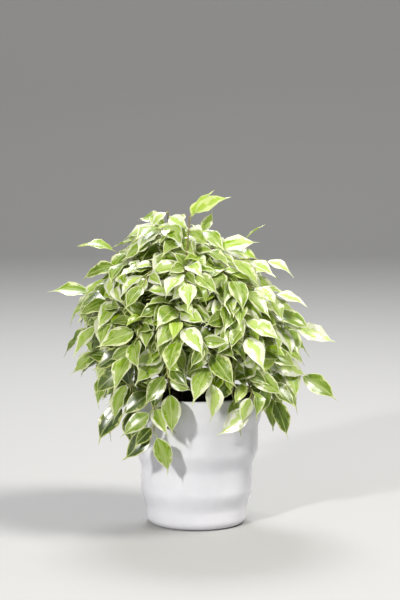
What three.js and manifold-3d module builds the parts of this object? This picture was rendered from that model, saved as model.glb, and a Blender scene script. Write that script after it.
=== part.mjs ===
// A young variegated weeping fig: four leafy stems in compost, in a plastic growing pot,
// inside a white glazed cover pot whose wall swells in soft steps.
// Millimetres, +Z up, origin at the centre of the cover pot's foot. The photograph looks along +Y.
import * as THREE from 'three';
import Module from 'manifold-3d';
import { mergeVertices } from 'three/addons/utils/BufferGeometryUtils.js';

const wasm = await Module();
wasm.setup();

const degrees = Math.PI / 180;

// Cover pot: four bands of growing radius, joined by three smooth steps.
const coverPot = {
  height: 164, wall: 4.5, floor: 7, sides: 36,
  bandRadii: [62.9, 69.2, 76.6, 81.2], stepHeights: [33, 83.5, 130], stepHalfWidth: 13,
  footRadius: 53, cornerRadius: 10, lip: 1.6, heel: 8,
};
// Where its outline has a corner, as shares of its height.
const coverPotStations = [0.065, 0.13, 0.2, 0.28, 0.43, 0.48, 0.54, 0.59, 0.72, 0.79, 0.87];

// Growing pot: a thin tapered cup with a turned-out rim band, standing on the cover pot's floor.
const growingPot = {
  height: 150, wall: 1.6, floor: 2, sides: 20,
  footRadius: 49, shoulderRadius: 66, rimRadius: 69.5, rimBand: 12, rimFlare: 0.8, rimStep: 2,
};
// Compost: its top is a low crown, and its holes are a little wider than the stems.
const compost = { top: 145, crown: 2.5, brow: 0.6, gap: 0.5, sides: 20, holeSides: 8 };
const seat = 0.3; // gap between pieces that rest on each other
const seam = 0.03; // slivers narrower than this are cleared where pieces grow together

// Leaves: petiole, blade and drip tip together make the length. Thicknesses are at the rib and the root.
const leaf = { length: 60, halfWidth: 12.2, rib: 1.7, ribStation: 0.44, root: 1, rootDepth: 0.3 };
// Stations of a leaf's outline: share of the length, share of the half width.
const outline = [[0.31, 0.86], [0.56, 0.9], [0.83, 0.19]];
// A leaf keeps this clear of everything but its twig, and is clear of its twig once slid off it.
const clearance = 0.4;
const slide = 4;

// The foliage's dome: the branches' ends lie on this shell. It narrows towards its crown, leans to one
// side there, and its skirt is narrower than its middle.
const dome = {
  centre: new THREE.Vector3(-5, 0, 212), crown: { reach: 124, rise: 167, narrowing: 0.8, lean: -25 },
  skirt: { reach: 106, rise: 86, narrowing: 0, lean: 0 },
};
// Twigs leave their fork by this lead and rise, and hang into their tip along the dome.
const twig = {
  startRadius: 1.8, endRadius: 1.35, sides: 3, steps: 5, rise: 34, lead: 26, hangAngle: 0.5, shootHang: 60,
};
// Leaves and twigs turn their faces from straight outwards by this much, to the light in front and above.
const lightwards = new THREE.Vector3(0, -0.5, 0.4);
const stemShape = { sides: 6, steps: 6, buried: 34, bare: 4, tipRadius: 1.5 };

// Each stem stands in one quarter of the pot and carries the branches of that quarter.
const stems = [
  { name: 'leafy_stem_back_right', foot: [17, 22], top: [24, 29, 330], radius: 3.6 },
  { name: 'leafy_stem_back_left', foot: [-20, 24], top: [-33, 30, 324], radius: 3.4 },
  { name: 'leafy_stem_front_left', foot: [-26, -17], top: [-28, -20, 328], radius: 3.9 },
  { name: 'leafy_stem_front_right', foot: [21, -20], top: [25, -26, 322], radius: 3.3 },
];

// Rings of branches: how many, the share of a step by which the ring is turned, the polar angle of their
// ends, their forks' height, the length over which they hang into their tip, and the leaves on each.
const forkSpacing = 8;
const rings = [
  { branches: 4, turn: 0.5, end: 17, fork: 312, hang: 12, leaves: 6 },
  { branches: 7, turn: 0.5, end: 40, fork: 293, hang: 60, leaves: 7 },
  { branches: 9, turn: 0, end: 59, fork: 275, hang: 60, leaves: 7 },
  { branches: 10, turn: 0.5, end: 81, fork: 249, hang: 60, leaves: 8 },
  { branches: 10, turn: 0, end: 103, fork: 224, hang: 60, leaves: 7 },
  { branches: 9, turn: 0.5, end: 124, fork: 200, hang: 60, leaves: 5 },
];
// The lowest ring leaves the front of the rim open over this span of azimuths, in degrees.
const frontOpening = { ring: 5, from: 248, to: 292 };
// Each branch strays from its place in the ring by up to so many degrees, and this share of the reach.
const stray = { azimuth: 6, polar: 7, reach: 0.05 };
// Branches and leaves are numbered in steps that keep every number different.
const numbering = { ring: 20, leaf: 16, shoot: 200 };

// How leaves grow. They sit from the first share of the branch to the last, at an angle to it.
// Droop, outward lift, size, bend and fold are each a least value and a range above it.
// Where the branch climbs, its leaves droop more by the climb.
const habit = {
  first: 0.3, offset: 0.6, last: 0.99, angle: 50, angleStray: 14, tipStray: 10, roll: 18, climb: 0.7,
  droop: [0.22, 0.3], lift: [0.35, 0.3], grown: [0.84, 0.24], bend: [30, 34], fold: [8, 14],
};

// Shoots that stand out from the dome. Each leaf: share of the shoot, direction, face, size, bend.
const shoots = [
  {
    stem: 2, fork: 286, end: [-8, -56, 388], heading: [0.06, 0.12, 1],
    leaves: [
      [0.99, [0.88, -0.1, 0.47], [-0.4, -0.6, 0.7], 0.95, 24],
      [0.95, [0.72, 0.35, 0.72], [-0.5, -0.4, 0.75], 0.9, 20],
    ],
  },
  {
    stem: 3, fork: 300, end: [5, -24, 364], heading: [0, 0, 1],
    leaves: [
      [0.99, [0.5, -0.1, 0.8], [-0.3, -0.95, 0.1], 0.56, 16],
      [0.84, [0.75, -0.5, -0.4], [0.3, -0.5, 0.8], 0.85, 46],
      [0.7, [-0.3, -0.8, -0.5], [0, -0.6, 0.8], 0.85, 46],
    ],
  },
  {
    stem: 1, fork: 304, end: [-35, 2, 389], heading: [0, -0.1, 1],
    leaves: [
      [0.99, [-0.55, -0.35, -0.55], [-0.4, -0.7, 0.6], 0.55, 70],
      [0.94, [0.6, -0.4, -0.6], [0.4, -0.7, 0.6], 0.6, 60],
      [0.88, [-0.6, -0.4, -0.65], [-0.4, -0.75, 0.5], 0.68, 50],
      [0.82, [0.1, -0.6, -0.8], [0.05, -0.85, 0.5], 0.7, 50],
      [0.76, [0.7, -0.1, -0.65], [0.6, -0.4, 0.7], 0.72, 50],
      [0.7, [-0.75, 0.1, -0.6], [-0.6, -0.3, 0.7], 0.75, 50],
      [0.64, [-0.2, -0.65, -0.75], [-0.1, -0.85, 0.5], 0.8, 50],
    ],
  },
  {
    stem: 1, fork: 290, end: [-98, 2, 336], heading: [-0.9, 0, 0.1],
    leaves: [
      [0.99, [-0.98, 0, 0.14], [0, -0.35, 0.93], 0.92, 64],
      [0.93, [-0.5, -0.2, -0.84], [-0.6, -0.8, 0.1], 0.62, 20],
    ],
  },
  {
    stem: 0, fork: 300, end: [57, -4, 350], heading: [0.8, 0, 0.3],
    leaves: [
      [0.99, [0.76, 0, 0.6], [-0.5, 0.1, 0.85], 0.62, 24],
      [0.8, [0.8, -0.5, -0.2], [0.3, -0.4, 0.85], 0.9, 40],
    ],
  },
  {
    stem: 0, fork: 276, end: [82, -20, 330], heading: [0.85, 0, -0.1],
    leaves: [
      [0.99, [0.88, -0.1, -0.42], [0.3, -0.5, 0.8], 0.75, 36],
      [0.84, [0.7, -0.6, -0.4], [0.3, -0.5, 0.8], 0.85, 40],
    ],
  },
  {
    stem: 3, fork: 262, end: [93, -36, 290], heading: [0.85, -0.1, -0.35],
    leaves: [
      [0.99, [0.88, -0.1, -0.3], [0.3, -0.5, 0.8], 0.8, 36],
      [0.93, [0.75, -0.2, -0.68], [0.5, -0.6, 0.6], 0.85, 34],
      [0.8, [0.6, -0.7, -0.4], [0.3, -0.6, 0.7], 0.9, 40],
    ],
  },
  {
    stem: 1, fork: 262, end: [-124, -8, 284], heading: [-0.9, 0, -0.2],
    leaves: [
      [0.99, [-0.99, 0, 0.06], [-0.1, -0.5, 0.86], 1.06, 46],
      [0.94, [-0.86, -0.4, -0.42], [-0.3, -0.6, 0.75], 0.95, 34],
      [0.84, [-0.8, -0.5, -0.5], [-0.3, -0.6, 0.7], 1, 36],
      [0.75, [-0.8, 0.2, 0.1], [-0.2, -0.4, 0.9], 0.8, 50],
    ],
  },
  {
    stem: 0, fork: 232, end: [116, -8, 245], heading: [0.8, 0, -0.4],
    leaves: [
      [0.99, [0.92, -0.1, -0.34], [0.25, -0.75, 0.6], 1.05, 44],
      [0.95, [0.85, -0.3, -0.5], [0.4, -0.7, 0.6], 0.9, 34],
      [0.84, [0.7, -0.6, -0.4], [0.3, -0.6, 0.7], 0.95, 40],
    ],
  },
  {
    stem: 3, fork: 216, end: [124, -14, 188], heading: [0.7, 0, -0.7],
    leaves: [
      [0.99, [0.84, -0.1, -0.53], [0.3, -0.85, 0.4], 1.05, 36],
      [0.86, [0.3, -0.5, -0.8], [0.4, -0.8, 0.4], 0.95, 40],
    ],
  },
  {
    stem: 2, fork: 222, end: [-116, -16, 218], heading: [-0.7, 0, -0.6],
    leaves: [
      [0.99, [-0.76, -0.1, -0.64], [-0.3, -0.7, 0.6], 0.88, 44],
      [0.95, [-0.08, -0.1, -1], [-0.4, -0.85, 0.3], 0.95, 24],
      [0.82, [-0.4, -0.5, -0.75], [-0.4, -0.7, 0.55], 0.95, 40],
    ],
  },
  {
    stem: 2, fork: 206, end: [-86, -44, 158], heading: [-0.4, -0.2, -0.9],
    leaves: [
      [0.99, [-0.6, -0.1, -0.8], [-0.3, -0.85, 0.3], 1.08, 30],
      [0.86, [-0.5, -0.35, -0.8], [-0.2, -0.8, 0.5], 0.7, 30],
      [0.74, [-0.8, -0.1, -0.55], [-0.3, -0.7, 0.6], 0.95, 40],
    ],
  },
  {
    stem: 2, fork: 200, end: [-51, -94, 129], heading: [0.05, -0.1, -1],
    leaves: [
      [0.99, [0.36, -0.05, -0.93], [0.2, -0.97, 0.1], 0.95, 24],
      [0.95, [-0.62, -0.05, -0.78], [-0.3, -0.93, 0.1], 0.98, 24],
      [0.84, [-0.6, -0.15, -0.75], [-0.25, -0.9, 0.35], 0.9, 30],
      [0.78, [0.3, -0.15, -0.94], [0.15, -0.95, 0.3], 0.8, 30],
      [0.68, [-0.66, -0.2, -0.7], [-0.2, -0.9, 0.4], 0.95, 34],
    ],
  },
  {
    stem: 3, fork: 206, end: [70, -88, 161], heading: [0.2, -0.3, -0.9],
    leaves: [
      [0.99, [-0.72, -0.1, -0.68], [-0.1, -0.95, 0.3], 1, 20],
      [0.91, [0.1, -0.4, -0.9], [0.1, -0.9, 0.4], 0.7, 30],
      [0.8, [-0.45, -0.35, -0.82], [0, -0.85, 0.5], 0.62, 34],
      [0.7, [0.55, -0.3, -0.78], [0.1, -0.9, 0.4], 1, 30],
    ],
  },
  {
    stem: 3, fork: 204, end: [92, -44, 166], heading: [0.4, 0, -0.9],
    leaves: [
      [0.99, [0.35, -0.05, -0.94], [0.5, -0.8, 0.2], 1, 26],
      [0.86, [0.7, -0.3, -0.62], [0.4, -0.7, 0.6], 0.95, 38],
    ],
  },
];
const chosenFold = 14; // degrees that the blades of these leaves fold up

// A number from 0 to 1 that looks random and is always the same for a counter and a channel.
function chance(counter, channel) {
  const wave = Math.sin(counter * 127.1 + channel * 311.7) * 43758.5453;
  return wave - Math.floor(wave);
}

function spread(counter, channel, amount) {
  return (2 * chance(counter, channel) - 1) * amount;
}

function within([least, range], counter, channel) {
  return least + range * chance(counter, channel);
}

function vector(x, y, z) {
  return new THREE.Vector3(x, y, z);
}

// The part of a direction that is square to another.
function square(direction, to) {
  return direction.clone().addScaledVector(to, -direction.dot(to) / to.lengthSq()).normalize();
}

function solidOf(vertProperties, triVerts) {
  return new wasm.Manifold(new wasm.Mesh({ numProp: 3, vertProperties, triVerts }));
}

function solidOfPoints(points, triangles) {
  return solidOf(new Float32Array(points.flatMap((p) => p.toArray())), new Uint32Array(triangles.flat()));
}

function solidOfGeometry(geometry) {
  geometry.deleteAttribute('normal');
  geometry.deleteAttribute('uv');
  const merged = mergeVertices(geometry, 1e-3);
  return solidOf(merged.attributes.position.array, new Uint32Array(merged.index.array));
}

function geometryOf(solid) {
  const mesh = solid.getMesh();
  const positions = new Float32Array(mesh.numVert * 3);
  for (let i = 0; i < mesh.numVert; i++) {
    positions.set(mesh.vertProperties.subarray(i * mesh.numProp, i * mesh.numProp + 3), i * 3);
  }
  return new THREE.BufferGeometry()
    .setAttribute('position', new THREE.BufferAttribute(positions, 3))
    .setIndex(new THREE.BufferAttribute(mesh.triVerts, 1));
}

// A body of revolution about +Z from [radius, height] points.
function turned(profile, sides) {
  const points = profile.map(([radius, height]) => new THREE.Vector2(radius, height));
  return solidOfGeometry(new THREE.LatheGeometry(points, sides).rotateX(Math.PI / 2));
}

// The way the foliage faces at a point: outwards from the dome's middle, and to the light.
function outlook(point) {
  return point.clone().sub(dome.centre).normalize().add(lightwards).normalize();
}

// A rod through a line of points, its radius running from one end's to the other's.
function rod(line, sides, startRadius, endRadius) {
  const steps = line.length - 1;
  const points = [];
  const triangles = [];
  line.forEach((centre, i) => {
    const way = line[Math.min(i + 1, steps)].clone().sub(line[Math.max(i - 1, 0)]).normalize();
    const facing = square(outlook(centre), way);
    const across = way.clone().cross(facing);
    const radius = THREE.MathUtils.lerp(startRadius, endRadius, i / steps);
    for (let k = 0; k < sides; k++) {
      const turn = (2 * Math.PI * (k + 0.5)) / sides;
      points.push(centre.clone()
        .addScaledVector(across, radius * Math.cos(turn))
        .addScaledVector(facing, -radius * Math.sin(turn)));
    }
  });
  for (let i = 0; i < steps; i++) {
    for (let k = 0; k < sides; k++) {
      const next = (k + 1) % sides;
      const [a, b, c, d] = [i * sides + k, i * sides + next, (i + 1) * sides + next, (i + 1) * sides + k];
      triangles.push([a, b, c], [a, c, d]);
    }
  }
  for (let k = 1; k < sides - 1; k++) {
    const last = steps * sides;
    triangles.push([0, k + 1, k], [last, last + k, last + k + 1]);
  }
  return solidOfPoints(points, triangles);
}

// The cover pot's outer radius at a height: each step is a smooth rise between two bands.
function coverPotRadius(height) {
  const { bandRadii, stepHeights, stepHalfWidth } = coverPot;
  return stepHeights.reduce((radius, middle, i) => {
    const share = THREE.MathUtils.clamp((height - middle) / (2 * stepHalfWidth) + 0.5, 0, 1);
    return radius + (bandRadii[i + 1] - bandRadii[i]) * share * share * (3 - 2 * share);
  }, bandRadii[0]);
}

function makeCoverPot() {
  const { height, wall, floor, sides, bandRadii, footRadius, cornerRadius, lip, heel } = coverPot;
  const corner = [footRadius + cornerRadius * Math.SQRT1_2, cornerRadius * (1 - Math.SQRT1_2)];
  const side = coverPotStations.map((share) => [coverPotRadius(share * height), share * height]);
  const rim = coverPotRadius(height);
  return turned([
    [0, 0], [footRadius, 0], corner, ...side,
    [rim, height - lip], [rim - lip, height], [rim - wall + lip, height], [rim - wall, height - lip],
    [bandRadii[0] - wall, floor + heel], [footRadius, floor], [0, floor],
  ], sides);
}

function makeGrowingPot() {
  const { height, wall, floor, sides, footRadius, shoulderRadius } = growingPot;
  const { rimRadius, rimBand, rimFlare, rimStep } = growingPot;
  const base = coverPot.floor + seat;
  const top = base + height;
  return turned([
    [0, base], [footRadius, base], [shoulderRadius, top - rimBand], [rimRadius, top - rimBand],
    [rimRadius + rimFlare, top], [rimRadius - wall, top], [shoulderRadius - wall, top - rimBand - rimStep],
    [footRadius - wall, base + floor], [0, base + floor],
  ], sides);
}

// The growing pot's inner radius at a height below its rim band.
function growingPotInside(level) {
  const { height, wall, floor, footRadius, shoulderRadius, rimBand, rimStep } = growingPot;
  const base = coverPot.floor + seat + floor;
  const share = (level - base) / (height - rimBand - rimStep - floor);
  return THREE.MathUtils.lerp(footRadius, shoulderRadius, share) - wall;
}

// The compost fills the growing pot, and each stem stands in a plain hole in it.
function makeCompost() {
  const { top, crown, brow, gap, sides, holeSides } = compost;
  const base = coverPot.floor + growingPot.floor + 2 * seat;
  const edge = top - crown;
  let solid = turned([
    [0, base], [growingPotInside(base) - gap, base], [growingPotInside(edge) - gap, edge],
    [growingPotInside(edge) * brow, top - crown / 4], [0, top],
  ], sides);
  for (const stem of stems) {
    const radius = (stem.radius + seat) / Math.cos(Math.PI / holeSides);
    const depth = stemShape.buried + seat;
    const hole = new THREE.CylinderGeometry(radius, radius, 2 * depth, holeSides)
      .rotateX(Math.PI / 2).translate(stem.foot[0], stem.foot[1], top);
    solid = solid.subtract(solidOfGeometry(hole));
  }
  return solid;
}

// A point of the dome: azimuth from +X towards +Y, polar angle from the top.
function domePoint(azimuth, polar, size) {
  const { reach, rise, narrowing, lean } = Math.cos(polar) > 0 ? dome.crown : dome.skirt;
  const out = reach * size * Math.sin(polar) * Math.abs(Math.sin(polar)) ** narrowing;
  const up = rise * size * Math.cos(polar);
  return dome.centre.clone().add(
    vector(lean * Math.cos(polar) + out * Math.cos(azimuth), out * Math.sin(azimuth), up));
}

// A stem is upright in the compost and leans to its top above it.
function stemCurve(stem) {
  const foot = vector(stem.foot[0], stem.foot[1], compost.top + stemShape.bare);
  const top = vector(...stem.top);
  const rise = (top.z - foot.z) / 3;
  return new THREE.CubicBezierCurve3(
    foot, foot.clone().add(vector(0, 0, rise)), top.clone().sub(vector(0, 0, rise)), top);
}

function makeStem(stem) {
  const line = stemCurve(stem).getPoints(stemShape.steps);
  line.unshift(vector(stem.foot[0], stem.foot[1], compost.top - stemShape.buried));
  return rod(line, stemShape.sides, stem.radius, stemShape.tipRadius);
}

// A stem's curve rises evenly, so a height gives its share of the stem.
function forkPoint(stem, height) {
  const curve = stemCurve(stem);
  return curve.getPoint((height - curve.v0.z) / (curve.v3.z - curve.v0.z));
}

// A branch arches up and out from its fork, then hangs into its tip along the heading.
function branchLine(fork, tip, heading, hang) {
  const out = vector(tip.x - fork.x, tip.y - fork.y, 0).normalize();
  return new THREE.CubicBezierCurve3(
    fork, fork.clone().addScaledVector(out, twig.lead).add(vector(0, 0, twig.rise)),
    tip.clone().addScaledVector(heading, -hang), tip).getPoints(twig.steps);
}

function makeBranches() {
  const branches = shoots.map(({ stem, fork, end, heading, leaves }, s) => {
    const start = forkPoint(stems[stem], fork);
    const line = branchLine(start, vector(...end), vector(...heading).normalize(), twig.shootHang);
    return { stem: stems[stem], counter: numbering.shoot + s, chosen: leaves, leaves: leaves.length, line };
  });
  rings.forEach((ring, level) => {
    for (let j = 0; j < ring.branches; j++) {
      const counter = 1 + level * numbering.ring + j;
      const azimuth = ((j + ring.turn) / ring.branches) * 360 + spread(counter, 1, stray.azimuth);
      const facing = (azimuth + 360) % 360;
      if (level === frontOpening.ring && facing > frontOpening.from && facing < frontOpening.to) continue;
      const polar = (ring.end + spread(counter, 2, stray.polar)) * degrees;
      const size = 1 + spread(counter, 3, stray.reach);
      const stem = stems[Math.floor(facing / 90)];
      const fork = forkPoint(stem, ring.fork + ((j % 3) - 1) * forkSpacing);
      const tip = domePoint(azimuth * degrees, polar, size);
      const heading = tip.clone().sub(domePoint(azimuth * degrees, polar - twig.hangAngle, size)).normalize();
      const line = branchLine(fork, tip, heading, ring.hang);
      branches.push({ stem, counter, leaves: ring.leaves, line });
    }
  });
  return branches;
}

// How a leaf may grow to hang clear of the others: its size, swing across and lift off in degrees.
const waysTried = [1, 0.84, 0.68].flatMap((size) => [0, 11, -11, 22].flatMap(
  (lift) => [0, 13, -13, 26, -26, 39, -39].map((swing) => ({ size, swing, lift }))));

// The point at a share of a line of points, and the way the line runs there.
function along(line, share) {
  const steps = line.length - 1;
  const i = Math.min(Math.floor(share * steps), steps - 1);
  const way = line[i + 1].clone().sub(line[i]);
  return { root: line[i].clone().addScaledVector(way, share * steps - i), way: way.normalize() };
}

// A leaf of a shoot, as chosen.
function chosenPlace(branch, [share, pointing, facing, grown, bend]) {
  const { root } = along(branch.line, share);
  return {
    root, pointing: vector(...pointing).normalize(), facing: vector(...facing),
    grown, roll: 0, bend: bend * degrees, fold: chosenFold * degrees,
  };
}

// Leaves alternate along a branch, face outwards, and droop.
function grownPlace(branch, index) {
  const counter = branch.counter * numbering.leaf + index;
  const isLast = index === branch.leaves - 1;
  const borne = (index + habit.offset) / branch.leaves;
  const { root, way } = along(branch.line, isLast ? habit.last : THREE.MathUtils.lerp(habit.first, 1, borne));
  const facing = outlook(root);
  const side = way.clone().cross(facing).normalize().multiplyScalar(index % 2 ? 1 : -1);
  const radial = vector(root.x - dome.centre.x, root.y - dome.centre.y, 0).normalize();
  const angle = isLast
    ? spread(counter, 5, habit.tipStray) * degrees
    : (habit.angle + spread(counter, 5, habit.angleStray)) * degrees;
  const pointing = way.clone().multiplyScalar(Math.cos(angle))
    .addScaledVector(side, Math.sin(angle))
    .add(vector(0, 0, -within(habit.droop, counter, 6) - habit.climb * Math.max(0, way.z)))
    .addScaledVector(radial, within(habit.lift, counter, 7)).normalize();
  return {
    root, pointing, facing,
    grown: within(habit.grown, counter, 8), roll: spread(counter, 9, habit.roll) * degrees,
    bend: within(habit.bend, counter, 10) * degrees, fold: within(habit.fold, counter, 11) * degrees,
  };
}

// A leaf's own axes once it is turned.
function leafAxes(place, { swing, lift }) {
  const face = square(place.facing, place.pointing);
  const pointing = place.pointing.clone().applyAxisAngle(face, swing * degrees);
  const across = face.clone().cross(pointing);
  pointing.applyAxisAngle(across, -lift * degrees);
  const normal = pointing.clone().cross(across).applyAxisAngle(pointing, place.roll);
  return { pointing, normal, across: normal.clone().cross(pointing) };
}

// A point on a leaf: the rib is an arc that curls down, and the blade folds up from it.
function leafPoint(place, axes, share, sideways, raised) {
  const length = leaf.length * place.grown;
  const start = place.bend / 2;
  const now = start - place.bend * share;
  const out = (length / place.bend) * (Math.sin(start) - Math.sin(now));
  const lift = (length / place.bend) * (Math.cos(now) - Math.cos(start));
  const across = sideways * leaf.halfWidth * place.grown;
  return place.root.clone()
    .addScaledVector(axes.pointing, out - leaf.rootDepth * (1 - share))
    .addScaledVector(axes.across, across)
    .addScaledVector(axes.normal, lift + Math.abs(across) * Math.tan(place.fold) + raised);
}

// A leaf is a blade that is thick at the rib and runs out to its margin.
function makeLeaf(place, axes) {
  const at = (share, sideways, raised) => leafPoint(place, axes, share, sideways, raised);
  const margin = [
    ...outline.map(([share, width]) => at(share, width, 0)), at(1, 0, 0),
    ...outline.map(([share, width]) => at(share, -width, 0)).reverse(),
  ];
  const points = [
    at(0, 0, leaf.root / 2), at(0, 0, -leaf.root / 2),
    at(leaf.ribStation, 0, leaf.rib / 2), at(leaf.ribStation, 0, -leaf.rib / 2), ...margin,
  ];
  const triangles = [];
  const count = margin.length;
  for (let i = 0; i < count - 1; i++) {
    triangles.push([2, 5 + i, 4 + i], [3, 4 + i, 5 + i]);
  }
  triangles.push([2, 4, 0], [3, 1, 4], [2, 0, 3 + count], [3, 3 + count, 1]);
  triangles.push([0, 4, 1], [0, 1, 3 + count]);
  return solidOfPoints(points, triangles);
}

function boxed(solid, branch) {
  return { solid, branch, box: solid.boundingBox() };
}

// Two solids come closer than the clearance.
function tooClose(a, b) {
  const apart = [0, 1, 2].some(
    (k) => a.box.min[k] - clearance > b.box.max[k] || b.box.min[k] - clearance > a.box.max[k]);
  return !apart && a.solid.minGap(b.solid, clearance) < clearance;
}

// A leaf takes the first way to grow that keeps it clear of what is already there, or none.
function growLeaf(branch, place, taken) {
  for (const way of waysTried) {
    const axes = leafAxes(place, way);
    const made = boxed(makeLeaf({ ...place, grown: place.grown * way.size }, axes), branch);
    const slid = boxed(made.solid.translate(axes.pointing.clone().multiplyScalar(slide).toArray()));
    if (tooClose(slid, branch.rod)) continue;
    if (taken.every((other) => other === branch.rod || !tooClose(made, other))) return made;
  }
  return null;
}

// All twigs and leaves. The leaves are placed one by one, shoots first.
function makeFoliage(branches, fixed) {
  for (const branch of branches) {
    branch.rod = boxed(rod(branch.line, twig.sides, twig.startRadius, twig.endRadius), branch);
  }
  const foliage = branches.map((branch) => branch.rod);
  const obstacles = fixed.map((solid) => boxed(solid));
  for (const branch of branches) {
    for (let index = 0; index < branch.leaves; index++) {
      const place = branch.chosen ? chosenPlace(branch, branch.chosen[index]) : grownPlace(branch, index);
      const made = growLeaf(branch, place, [...obstacles, ...foliage]);
      if (made) foliage.push(made);
    }
  }
  return foliage;
}

const plant = new THREE.Group();

function addPiece(name, solid, look) {
  const mesh = new THREE.Mesh(geometryOf(solid), new THREE.MeshStandardMaterial(look));
  mesh.name = name;
  plant.add(mesh);
}

const coverPotSolid = makeCoverPot();
addPiece('cover_pot', coverPotSolid, { color: 0xf2f2f0, roughness: 0.15, metalness: 0 });
addPiece('growing_pot', makeGrowingPot(), { color: 0x1a1819, roughness: 0.6, metalness: 0 });
addPiece('compost', makeCompost(), { color: 0x2e2019, roughness: 0.95, metalness: 0 });

const stemSolids = stems.map(makeStem);
const foliage = makeFoliage(makeBranches(), [coverPotSolid, ...stemSolids]);
stems.forEach((stem, s) => {
  const own = foliage.filter((piece) => piece.branch.stem === stem).map((piece) => piece.solid);
  const leafyStem = wasm.Manifold.union([stemSolids[s], ...own]).asOriginal().simplify(seam);
  addPiece(stem.name, leafyStem, { color: 0xa9c46c, roughness: 0.4, metalness: 0 });
});

export default plant;
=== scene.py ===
import bpy
import numpy as np
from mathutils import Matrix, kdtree


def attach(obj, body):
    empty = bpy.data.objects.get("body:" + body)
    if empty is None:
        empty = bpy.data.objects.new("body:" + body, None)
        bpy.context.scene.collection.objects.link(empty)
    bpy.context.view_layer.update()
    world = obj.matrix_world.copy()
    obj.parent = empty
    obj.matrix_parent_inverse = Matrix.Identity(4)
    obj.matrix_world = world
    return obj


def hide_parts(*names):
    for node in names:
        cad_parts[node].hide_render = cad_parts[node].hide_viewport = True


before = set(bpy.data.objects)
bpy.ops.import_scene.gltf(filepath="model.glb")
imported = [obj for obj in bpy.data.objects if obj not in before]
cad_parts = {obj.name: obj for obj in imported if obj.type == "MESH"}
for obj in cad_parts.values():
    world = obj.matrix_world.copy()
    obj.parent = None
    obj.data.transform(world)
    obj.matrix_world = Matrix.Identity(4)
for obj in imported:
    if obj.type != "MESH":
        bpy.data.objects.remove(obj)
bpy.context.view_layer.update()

# A variegated weeping fig in its growing pot, inside a white glazed cover pot.
# Shapes are worked out in millimetres and put into the meshes in metres.
mm = 0.001


for leftover in ("Cube", "Light", "Camera"):
    if leftover in bpy.data.objects:
        bpy.data.objects.remove(bpy.data.objects[leftover])


# Small helpers

def linearColour(hexText):
    # sRGB hex to linear RGBA
    value = np.array([int(hexText[i:i + 2], 16) for i in (1, 3, 5)]) / 255
    linear = np.where(value <= 0.04045, value / 12.92, ((value + 0.055) / 1.055) ** 2.4)
    return (*linear.tolist(), 1.0)


def unit(vectors):
    return vectors / np.linalg.norm(vectors, axis=-1, keepdims=True)


def dot(a, b):
    return np.sum(a * b, axis=-1, keepdims=True)


def squareTo(direction, axis):
    # the part of a direction that is square to an axis
    return unit(direction - dot(direction, axis) / dot(axis, axis) * axis)


def turnedAbout(vectors, axis, angle):
    # Rodrigues: v cos + (axis x v) sin + axis (axis . v)(1 - cos), angle in degrees
    angle = np.radians(np.asarray(angle, float))[..., None]
    around = np.cross(axis, vectors)
    return vectors * np.cos(angle) + around * np.sin(angle) + axis * dot(axis, vectors) * (1 - np.cos(angle))


def smoothStep(values, low, high):
    share = np.clip((values - low) / (high - low), 0, 1)
    return share * share * (3 - 2 * share)


def chance(counter, channel):
    # 0 to 1, always the same for a counter and a channel: the fraction of a large sine. Channels 1
    # to 3 place a branch, twig or small leaf, 5 to 11 set a leaf's way, 21 to 24 its waves and
    # 31 to 34 its pattern.
    wave = np.sin(np.asarray(counter, float) * 127.1 + channel * 311.7) * 43758.5453
    return wave - np.floor(wave)


def spread(counter, channel, amount):
    return (2 * chance(counter, channel) - 1) * amount


def bezier(start, leave, arrive, end, shares):
    # cubic: the four points weighted by Bernstein's polynomials
    t = np.asarray(shares, float)[..., None]
    return (start * (1 - t) ** 3 + leave * 3 * t * (1 - t) ** 2
            + arrive * 3 * t ** 2 * (1 - t) + end * t ** 3)


def newObject(name, points, faces, materials):
    # a smooth-shaded mesh from points in millimetres
    mesh = bpy.data.meshes.new(name)
    mesh.from_pydata((points * mm).tolist(), [], faces)
    mesh.polygons.foreach_set("use_smooth", np.ones(len(mesh.polygons), bool))
    for material in materials:
        mesh.materials.append(material)
    mesh.update()
    thing = bpy.data.objects.new(name, mesh)
    bpy.context.scene.collection.objects.link(thing)
    return thing


def pointAttribute(thing, name, values):
    values = np.asarray(values, np.float32)
    kind = "FLOAT_VECTOR" if values.ndim == 2 else "FLOAT"
    attribute = thing.data.attributes.new(name, kind, "POINT")
    attribute.data.foreach_set("vector" if values.ndim == 2 else "value", values.ravel())


def ringFaces(rings, sides, first=0):
    # quads between neighbouring rings of points, closed round each ring
    ring, side = np.meshgrid(np.arange(rings - 1), np.arange(sides), indexing="ij")
    here = first + ring * sides + side
    beside = first + ring * sides + (side + 1) % sides
    return np.stack([here, beside, beside + sides, here + sides], axis=-1).reshape(-1, 4)


def revolve(name, profile, sides, materials):
    # each profile point (radius, height) is turned into a ring; the two end rings are closed by poles
    profile = np.asarray(profile, float)
    angles = np.linspace(0, 2 * np.pi, sides, endpoint=False)
    inner = profile[1:-1]
    rings = np.stack([
        inner[:, :1] * np.cos(angles), inner[:, :1] * np.sin(angles),
        np.repeat(inner[:, 1:], sides, axis=1)], axis=-1)
    poles = np.array([[0, 0, profile[0, 1]], [0, 0, profile[-1, 1]]])
    points = np.concatenate([rings.reshape(-1, 3), poles])
    count = len(inner) * sides
    faces = ringFaces(len(inner), sides).tolist()
    last = count - sides
    for side in range(sides):
        beside = (side + 1) % sides
        faces.append([count, beside, side])
        faces.append([count + 1, last + side, last + beside])
    return newObject(name, points, faces, materials)


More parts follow.
